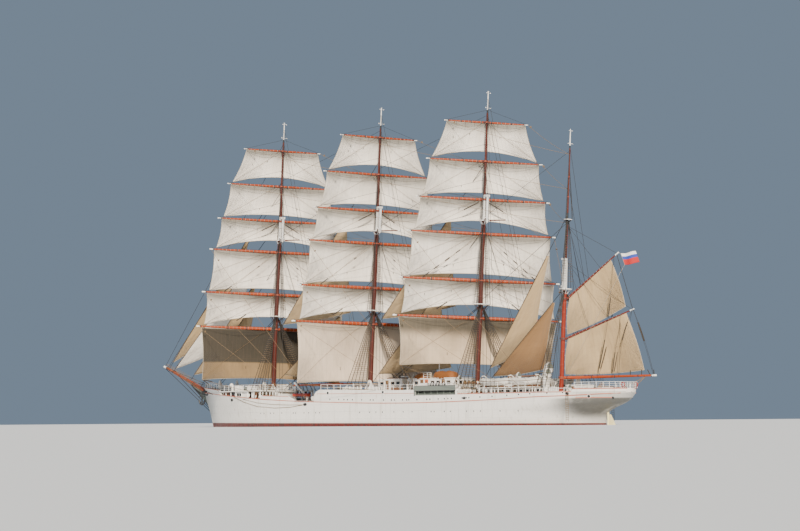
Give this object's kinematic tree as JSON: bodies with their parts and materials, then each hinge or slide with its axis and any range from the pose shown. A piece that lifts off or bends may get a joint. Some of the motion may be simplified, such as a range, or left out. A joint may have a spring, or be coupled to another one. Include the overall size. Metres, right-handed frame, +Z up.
{
  "type": "four-masted sailing ship, 1:10 scale model",
  "caption": "Tall ship under full sail: decked steel hull, raked masts with square sails on yards that brace round, staysails, jibs and a split spanker.",
  "frame": {"origin": "on the centreline at the waterline, halfway along the hull", "axes": "+X towards the stern, +Y to starboard, +Z up"},
  "size_m": [11.6711, 2.7573, 6.56],
  "materials": {
    "hull_paint": "satin white paint over dark red bottom paint, rust streaked",
    "house_paint": "satin white paint",
    "spar_paint": "satin orange-brown paint",
    "white_canvas": "matt sailcloth",
    "tan_canvas": "matt weathered canvas",
    "bronze": "dull bronze",
    "deck_wood": "scrubbed planks",
    "rope": "tarred rope and wire",
    "dark_fitting": "black paint"
  },
  "bodies": {
    "ship": {"hull": "hull_paint", "bowsprit": "spar_paint", "deckhouses": "house_paint", "fore_mast": "spar_paint", "main_mast": "spar_paint", "mizzen_mast": "spar_paint", "jigger_mast": "spar_paint", "flying_jib": "tan_canvas", "outer_jib": "tan_canvas", "inner_jib": "tan_canvas", "fore_topmast_staysail": "tan_canvas", "main_staysail": "tan_canvas", "main_topmast_staysail": "tan_canvas", "mizzen_staysail": "tan_canvas", "mizzen_topmast_staysail": "tan_canvas", "jigger_staysail": "tan_canvas", "jigger_topmast_staysail": "tan_canvas"},
    "fore_yards": {"fore_course_yard": "spar_paint", "fore_course_sail": "white_canvas", "fore_lower_topsail_yard": "spar_paint", "fore_lower_topsail_sail": "white_canvas", "fore_upper_topsail_yard": "spar_paint", "fore_upper_topsail_sail": "white_canvas", "fore_lower_topgallant_yard": "spar_paint", "fore_lower_topgallant_sail": "white_canvas", "fore_upper_topgallant_yard": "spar_paint", "fore_upper_topgallant_sail": "white_canvas", "fore_royal_yard": "spar_paint", "fore_royal_sail": "white_canvas"},
    "main_yards": {"main_course_yard": "spar_paint", "main_course_sail": "white_canvas", "main_lower_topsail_yard": "spar_paint", "main_lower_topsail_sail": "white_canvas", "main_upper_topsail_yard": "spar_paint", "main_upper_topsail_sail": "white_canvas", "main_lower_topgallant_yard": "spar_paint", "main_lower_topgallant_sail": "white_canvas", "main_upper_topgallant_yard": "spar_paint", "main_upper_topgallant_sail": "white_canvas", "main_royal_yard": "spar_paint", "main_royal_sail": "white_canvas"},
    "mizzen_yards": {"mizzen_course_yard": "spar_paint", "mizzen_course_sail": "white_canvas", "mizzen_lower_topsail_yard": "spar_paint", "mizzen_lower_topsail_sail": "white_canvas", "mizzen_upper_topsail_yard": "spar_paint", "mizzen_upper_topsail_sail": "white_canvas", "mizzen_lower_topgallant_yard": "spar_paint", "mizzen_lower_topgallant_sail": "white_canvas", "mizzen_upper_topgallant_yard": "spar_paint", "mizzen_upper_topgallant_sail": "white_canvas", "mizzen_royal_yard": "spar_paint", "mizzen_royal_sail": "white_canvas"},
    "spanker": {"spanker_boom": "spar_paint", "lower_gaff": "spar_paint", "upper_gaff": "spar_paint", "lower_spanker": "tan_canvas", "upper_spanker": "tan_canvas"},
    "rudder": {"rudder": "hull_paint"},
    "propeller": {"propeller": "bronze"}
  },
  "joints": [
    {"name": "fore_brace", "type": "hinge", "parent": "ship", "child": "fore_yards", "pos_m": [-3.2, 0, 0.7], "axis": [0.0624, 0, 0.998], "range_deg": [-14, 76]},
    {"name": "main_brace", "type": "hinge", "parent": "ship", "child": "main_yards", "pos_m": [-0.65, 0, 0.7], "axis": [0.0624, 0, 0.998], "range_deg": [-18, 72]},
    {"name": "mizzen_brace", "type": "hinge", "parent": "ship", "child": "mizzen_yards", "pos_m": [1.9, 0, 0.7], "axis": [0.0624, 0, 0.998], "range_deg": [-8, 82]},
    {"name": "spanker_swing", "type": "hinge", "parent": "ship", "child": "spanker", "pos_m": [3.74, 0, 0.7], "axis": [0.0624, 0, 0.998], "range_deg": [-65, 25]},
    {"name": "rudder_turn", "type": "hinge", "parent": "ship", "child": "rudder", "pos_m": [4.695, 0, -0.3], "axis": [0, 0, 1], "range_deg": [-35, 35]},
    {"name": "propeller_spin", "type": "hinge", "parent": "ship", "child": "propeller", "pos_m": [4.455, 0, -0.395], "axis": [1, 0, 0], "continuous": true}
  ]
}
